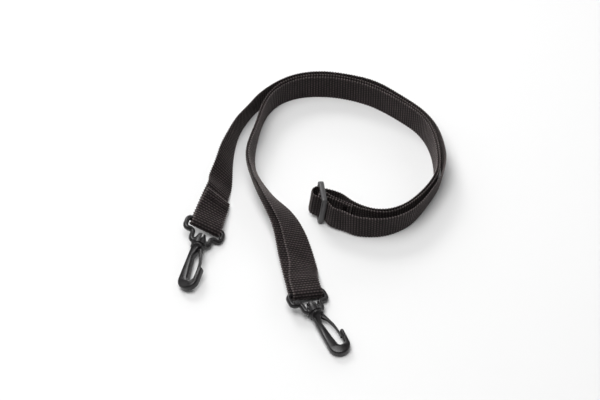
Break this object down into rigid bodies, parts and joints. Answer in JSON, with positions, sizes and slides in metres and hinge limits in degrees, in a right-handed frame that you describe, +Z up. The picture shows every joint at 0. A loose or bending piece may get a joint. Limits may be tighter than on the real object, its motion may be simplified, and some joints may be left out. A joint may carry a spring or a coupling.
{
  "type": "adjustable webbing strap with swivel snap hooks",
  "caption": "Coiled adjustable strap of flat woven webbing with a slide adjuster and a plastic swivel snap hook at each end.",
  "frame": {"origin": "middle of the outline as it lies coiled, on the table under the webbing's lower edge", "axes": "+Z up from the table, +Y away from the hooks towards the back of the coil, +X to the right as seen from the hook side"},
  "size_m": [0.2122, 0.271, 0.0324],
  "materials": {
    "webbing": "plain woven, matt",
    "thread": "bonded thread, low sheen",
    "moulded_black": "satin moulded",
    "moulded_grey": "satin moulded"
  },
  "bodies": {
    "strap": {"webbing_hook_a_fold": "webbing", "webbing_hook_b_turn": "webbing", "webbing_inner_lead": "webbing", "webbing_inner_run": "webbing", "webbing_middle_lead": "webbing", "webbing_middle_run": "webbing", "webbing_outer_lead": "webbing", "webbing_outer_run": "webbing", "stitching_hook_a": "thread"},
    "slider": {"slide_adjuster": "moulded_grey", "webbing_slider_turn": "webbing", "webbing_sewn_tail": "webbing", "stitching_tail": "thread"},
    "loop_a": {"swivel_loop_a": "moulded_black"},
    "hook_a": {"snap_hook_a": "moulded_black"},
    "gate_a": {"spring_gate_a": "moulded_black"},
    "loop_b": {"swivel_loop_b": "moulded_black"},
    "hook_b": {"snap_hook_b": "moulded_black"},
    "gate_b": {"spring_gate_b": "moulded_black"}
  },
  "joints": [
    {"name": "slider_travel", "type": "slide", "parent": "strap", "child": "slider", "axis": [0.9397, -0.342, 0], "range_m": [0, 0.02], "deforming": ["webbing_outer_lead", "webbing_inner_lead", "webbing_middle_lead"]},
    {"name": "loop_a_tilt", "type": "hinge", "parent": "strap", "child": "loop_a", "pos_m": [-0.08529, -0.01414, 0.00961], "axis": [0.8785, -0.2262, -0.4207], "range_deg": [-100, 100]},
    {"name": "hook_a_swivel", "type": "hinge", "parent": "loop_a", "child": "hook_a", "pos_m": [-0.09037, -0.03075, 0.00794], "axis": [-0.291, -0.9519, -0.0958], "continuous": true},
    {"name": "gate_a_open", "type": "hinge", "parent": "hook_a", "child": "gate_a", "pos_m": [-0.08921, -0.03932, 0.00865], "axis": [0.3842, -0.0245, -0.9229], "range_deg": [0, 12.5], "stiffness_Nm_per_rad": 0.12, "springref_deg": -2.86},
    {"name": "loop_b_tilt", "type": "hinge", "parent": "strap", "child": "loop_b", "pos_m": [-0.00754, -0.08019, 0.00781], "axis": [0.8596, 0.4263, -0.2817], "range_deg": [-100, 100]},
    {"name": "hook_b_swivel", "type": "hinge", "parent": "loop_b", "child": "hook_b", "pos_m": [-0.00013, -0.09594, 0.00659], "axis": [0.4247, -0.9026, -0.0698], "continuous": true},
    {"name": "gate_b_open", "type": "hinge", "parent": "hook_b", "child": "gate_b", "pos_m": [0.00669, -0.10128, 0.00605], "axis": [-0.0297, 0.0631, -0.9976], "range_deg": [0, 12.5], "stiffness_Nm_per_rad": 0.12, "springref_deg": -2.86}
  ]
}
